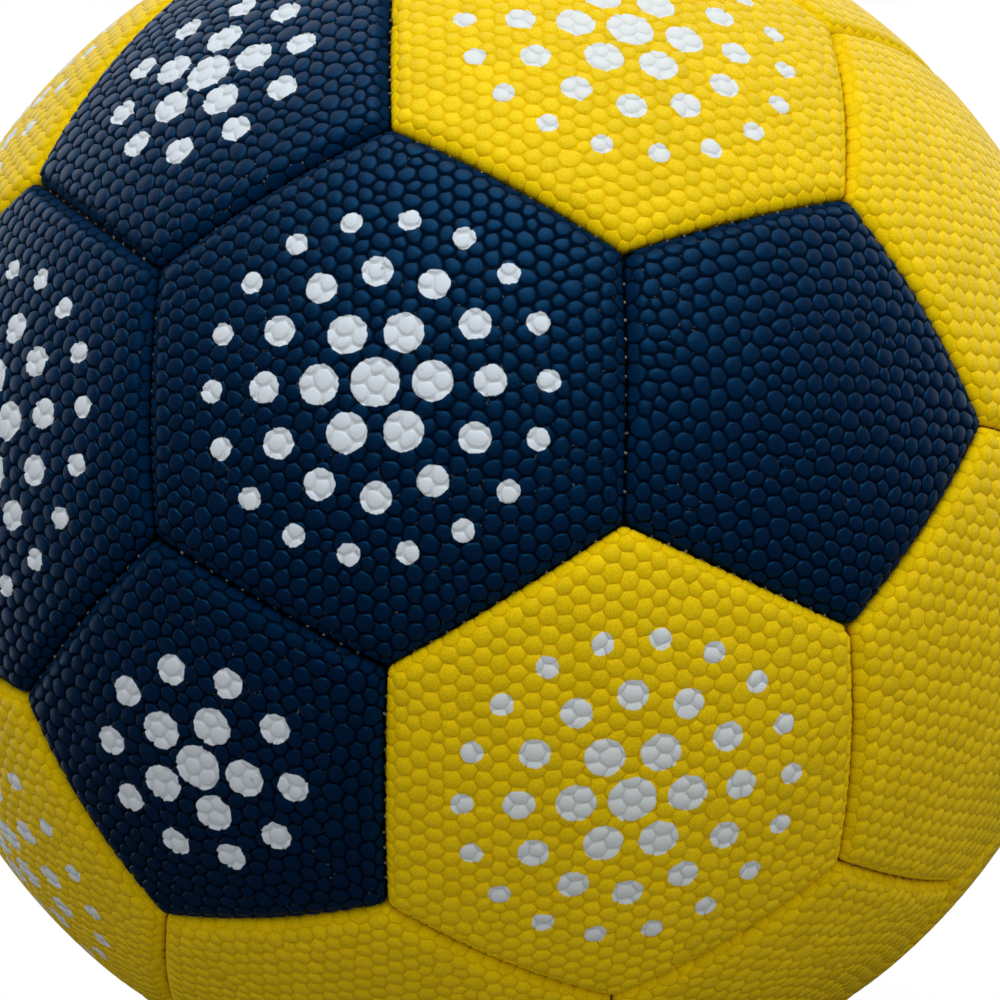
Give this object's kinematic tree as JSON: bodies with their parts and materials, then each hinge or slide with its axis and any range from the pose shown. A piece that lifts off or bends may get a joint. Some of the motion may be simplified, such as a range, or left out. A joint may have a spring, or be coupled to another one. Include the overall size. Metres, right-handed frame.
{
  "type": "handball",
  "caption": "Stitched handball of pebbled synthetic leather hexagons and pentagons, backed with foam and lining, over a bladder with a needle valve.",
  "frame": {"origin": "centre of the ball", "axes": "+Z out through the needle valve in the middle of a hexagon, -Y towards the dark panels that the picture shows, +X to the right when looking along +Y"},
  "size_m": [0.1878, 0.1878, 0.1877],
  "materials": {
    "navy_cover": "pebbled synthetic leather, matt, dark blue",
    "yellow_cover": "pebbled synthetic leather, matt, yellow",
    "foam": "closed-cell foam",
    "lining": "woven cotton and polyester",
    "thread": "waxed polyester thread",
    "bladder": "butyl rubber",
    "valve": "moulded rubber"
  },
  "bodies": {
    "root": {"balance_patch": "bladder", "bladder": "bladder", "hexagon_foam_pads": "foam", "hexagon_linings": "lining", "hexagon_seam_threads": "thread", "navy_hexagon_01": "navy_cover", "navy_hexagon_02": "navy_cover", "navy_hexagon_03": "navy_cover", "navy_hexagon_04": "navy_cover", "navy_pentagon_01": "navy_cover", "navy_pentagon_02": "navy_cover", "navy_pentagon_03": "navy_cover", "navy_pentagon_04": "navy_cover", "navy_pentagon_05": "navy_cover", "navy_pentagon_06": "navy_cover", "navy_pentagon_07": "navy_cover", "navy_pentagon_08": "navy_cover", "pentagon_foam_pads": "foam", "pentagon_linings": "lining", "pentagon_seam_threads": "thread", "valve_housing": "valve", "valve_panel": "yellow_cover", "valve_plug": "valve", "valve_ring": "lining", "yellow_hexagon_01": "yellow_cover", "yellow_hexagon_02": "yellow_cover", "yellow_hexagon_03": "yellow_cover", "yellow_hexagon_04": "yellow_cover", "yellow_hexagon_05": "yellow_cover", "yellow_hexagon_06": "yellow_cover", "yellow_hexagon_07": "yellow_cover", "yellow_hexagon_08": "yellow_cover", "yellow_hexagon_09": "yellow_cover", "yellow_hexagon_10": "yellow_cover", "yellow_hexagon_11": "yellow_cover", "yellow_hexagon_12": "yellow_cover", "yellow_hexagon_13": "yellow_cover", "yellow_hexagon_14": "yellow_cover", "yellow_hexagon_15": "yellow_cover", "yellow_pentagon_01": "yellow_cover", "yellow_pentagon_02": "yellow_cover", "yellow_pentagon_03": "yellow_cover", "yellow_pentagon_04": "yellow_cover"}
  },
  "joints": []
}
